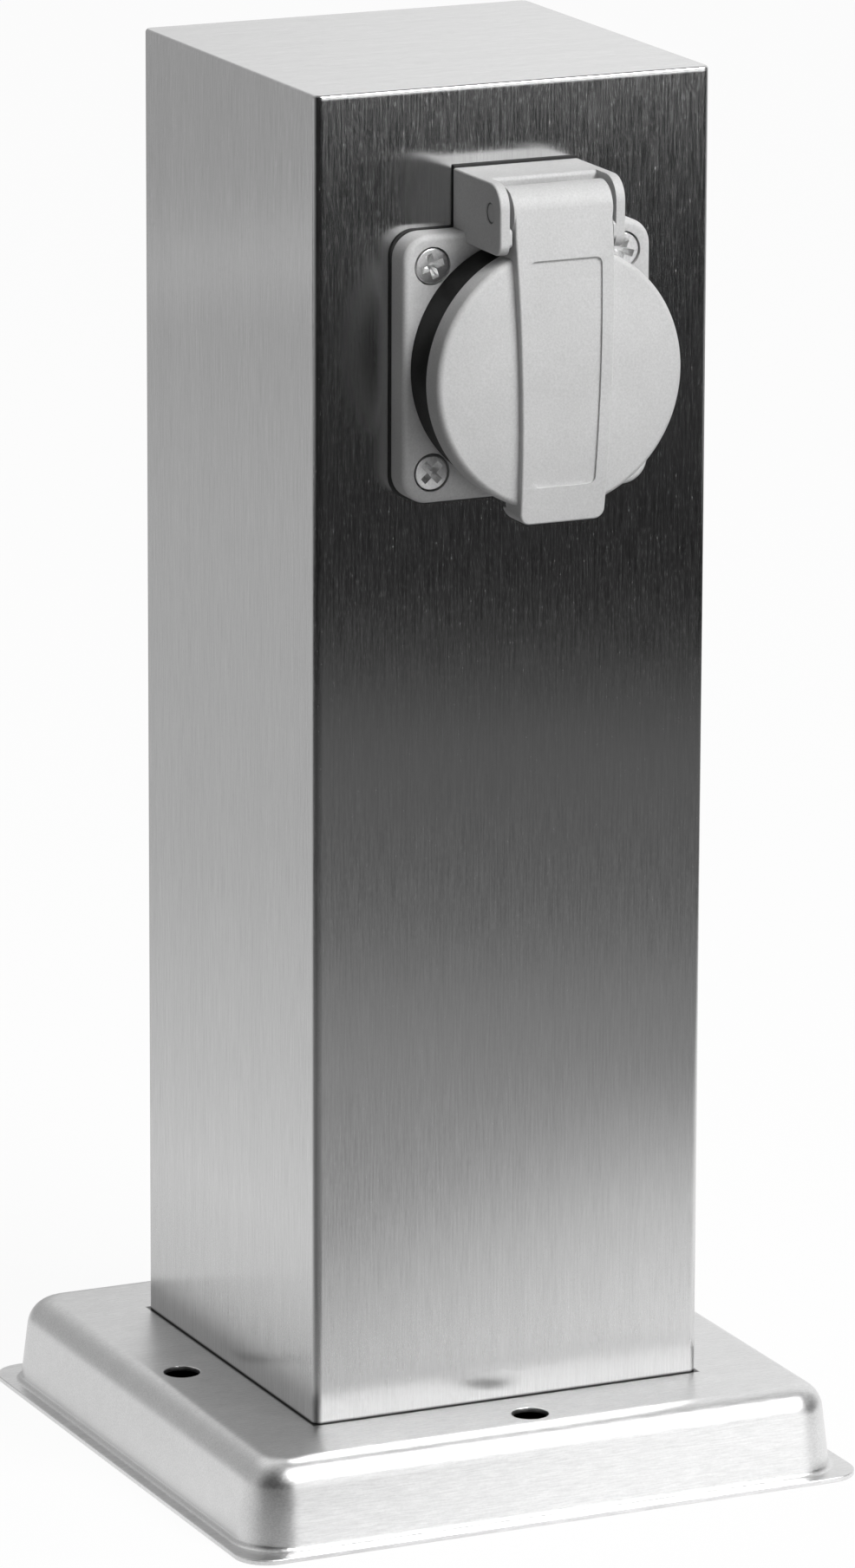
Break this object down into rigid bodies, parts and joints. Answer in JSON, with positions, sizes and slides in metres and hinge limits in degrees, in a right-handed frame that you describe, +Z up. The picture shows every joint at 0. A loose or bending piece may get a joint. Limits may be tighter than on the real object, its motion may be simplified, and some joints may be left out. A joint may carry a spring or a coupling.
{
  "type": "garden socket",
  "caption": "Square stainless steel column on a pressed base, with a panel socket outlet under a hinged spring lid near the top of its front.",
  "frame": {"origin": "centre of the base on the ground", "axes": "+Z up along the column, -Y out of the front with the socket, +X to the right seen from the front"},
  "size_m": [0.1284, 0.1284, 0.2704],
  "materials": {
    "column_steel": "brushed along the column",
    "base_steel": "finely brushed, glossy",
    "screw_steel": "plain zinc",
    "grey_plastic": "fine matt moulding",
    "black_plastic": "satin moulding",
    "carrier_plastic": "matt moulding",
    "seal_rubber": "matt",
    "contact_brass": "plain",
    "tinned_copper": "tinned",
    "lead_insulation": "satin",
    "spring_steel": "drawn wire"
  },
  "bodies": {
    "post": {"column_shell": "column_steel", "base_pan": "base_steel", "column_screws": "screw_steel", "column_nuts": "screw_steel", "cable_grommet": "seal_rubber", "earth_stud": "screw_steel", "earth_washer": "screw_steel", "earth_nut": "screw_steel", "flange_gasket": "seal_rubber", "socket_flange": "grey_plastic", "flange_screws": "screw_steel", "flange_nuts": "screw_steel", "socket_insert": "black_plastic", "insert_seal": "seal_rubber", "contact_carrier": "carrier_plastic", "live_contact": "contact_brass", "neutral_contact": "contact_brass", "earth_bracket": "contact_brass", "centre_screw": "screw_steel", "clamp_plates": "screw_steel", "terminal_screws": "screw_steel", "lead_lugs": "tinned_copper", "bonding_lead": "lead_insulation", "hinge_pin": "grey_plastic", "lid_spring": "spring_steel"},
    "lid": {"lid": "grey_plastic", "lid_seal": "seal_rubber"}
  },
  "joints": [
    {"name": "lid_hinge", "type": "hinge", "parent": "post", "child": "lid", "pos_m": [0, -0.0564, 0.2496], "axis": [-1, 0, 0], "range_deg": [0, 95], "stiffness_Nm_per_rad": 0.012, "springref_deg": -57.3, "deforming": ["lid_spring"]}
  ]
}
